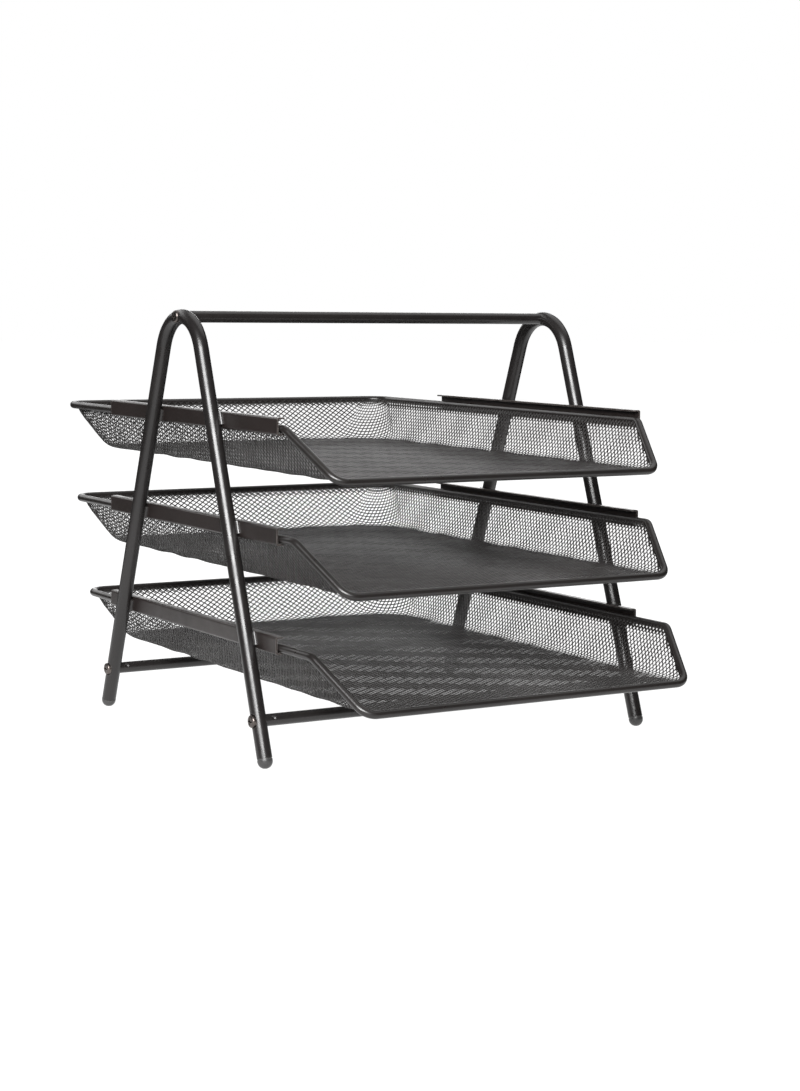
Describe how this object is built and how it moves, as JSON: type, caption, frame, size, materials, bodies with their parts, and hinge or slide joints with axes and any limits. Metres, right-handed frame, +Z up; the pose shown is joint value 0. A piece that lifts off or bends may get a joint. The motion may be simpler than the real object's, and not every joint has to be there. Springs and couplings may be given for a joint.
{
  "type": "letter tray",
  "caption": "Desktop letter tray: tiers of mesh paper trays with wire rims, sliding in channel rails on a carrying stand of A-shaped tube frames joined by a handle bar.",
  "frame": {"origin": "on the floor, in the middle of the footprint of the whole object with the trays where they stand in the picture", "axes": "+X to the right along the handle bar, -Y toward the open front the trays slide out of, +Z up"},
  "size_m": [0.2922, 0.409, 0.2745],
  "materials": {
    "frame_paint": "satin black powder coat on steel tube",
    "rail_paint": "satin black powder coat on folded sheet steel",
    "rim_paint": "satin black powder coat on steel wire",
    "mesh_paint": "black powder coat on expanded steel mesh",
    "weld_paint": "black powder coat over weld beads",
    "foot_plastic": "matt black moulded plastic",
    "screw_steel": "blackened steel with bright worn edges",
    "insert_steel": "zinc plated steel"
  },
  "bodies": {
    "stand": {"side_frame_left": "frame_paint", "side_frame_right": "frame_paint", "handle_bar": "frame_paint", "front_cross_bar": "frame_paint", "rear_cross_bar": "frame_paint", "rail_top_left": "rail_paint", "rail_top_right": "rail_paint", "rail_middle_left": "rail_paint", "rail_middle_right": "rail_paint", "rail_bottom_left": "rail_paint", "rail_bottom_right": "rail_paint", "foot_front_left": "foot_plastic", "foot_front_right": "foot_plastic", "foot_rear_left": "foot_plastic", "foot_rear_right": "foot_plastic", "handle_screws": "screw_steel", "cross_bar_screws": "screw_steel", "handle_bar_inserts": "insert_steel", "cross_bar_inserts": "insert_steel", "rail_welds": "weld_paint"},
    "tray_top": {"tray_rim_top": "rim_paint", "mesh_basket_top": "mesh_paint"},
    "tray_middle": {"tray_rim_middle": "rim_paint", "mesh_basket_middle": "mesh_paint"},
    "tray_bottom": {"tray_rim_bottom": "rim_paint", "mesh_basket_bottom": "mesh_paint"}
  },
  "joints": [
    {"name": "slide_top", "type": "slide", "parent": "stand", "child": "tray_top", "axis": [0, -1, 0], "range_m": [0, 0.23]},
    {"name": "slide_middle", "type": "slide", "parent": "stand", "child": "tray_middle", "axis": [0, -1, 0], "range_m": [-0.013, 0.217]},
    {"name": "slide_bottom", "type": "slide", "parent": "stand", "child": "tray_bottom", "axis": [0, -1, 0], "range_m": [-0.035, 0.195]}
  ]
}
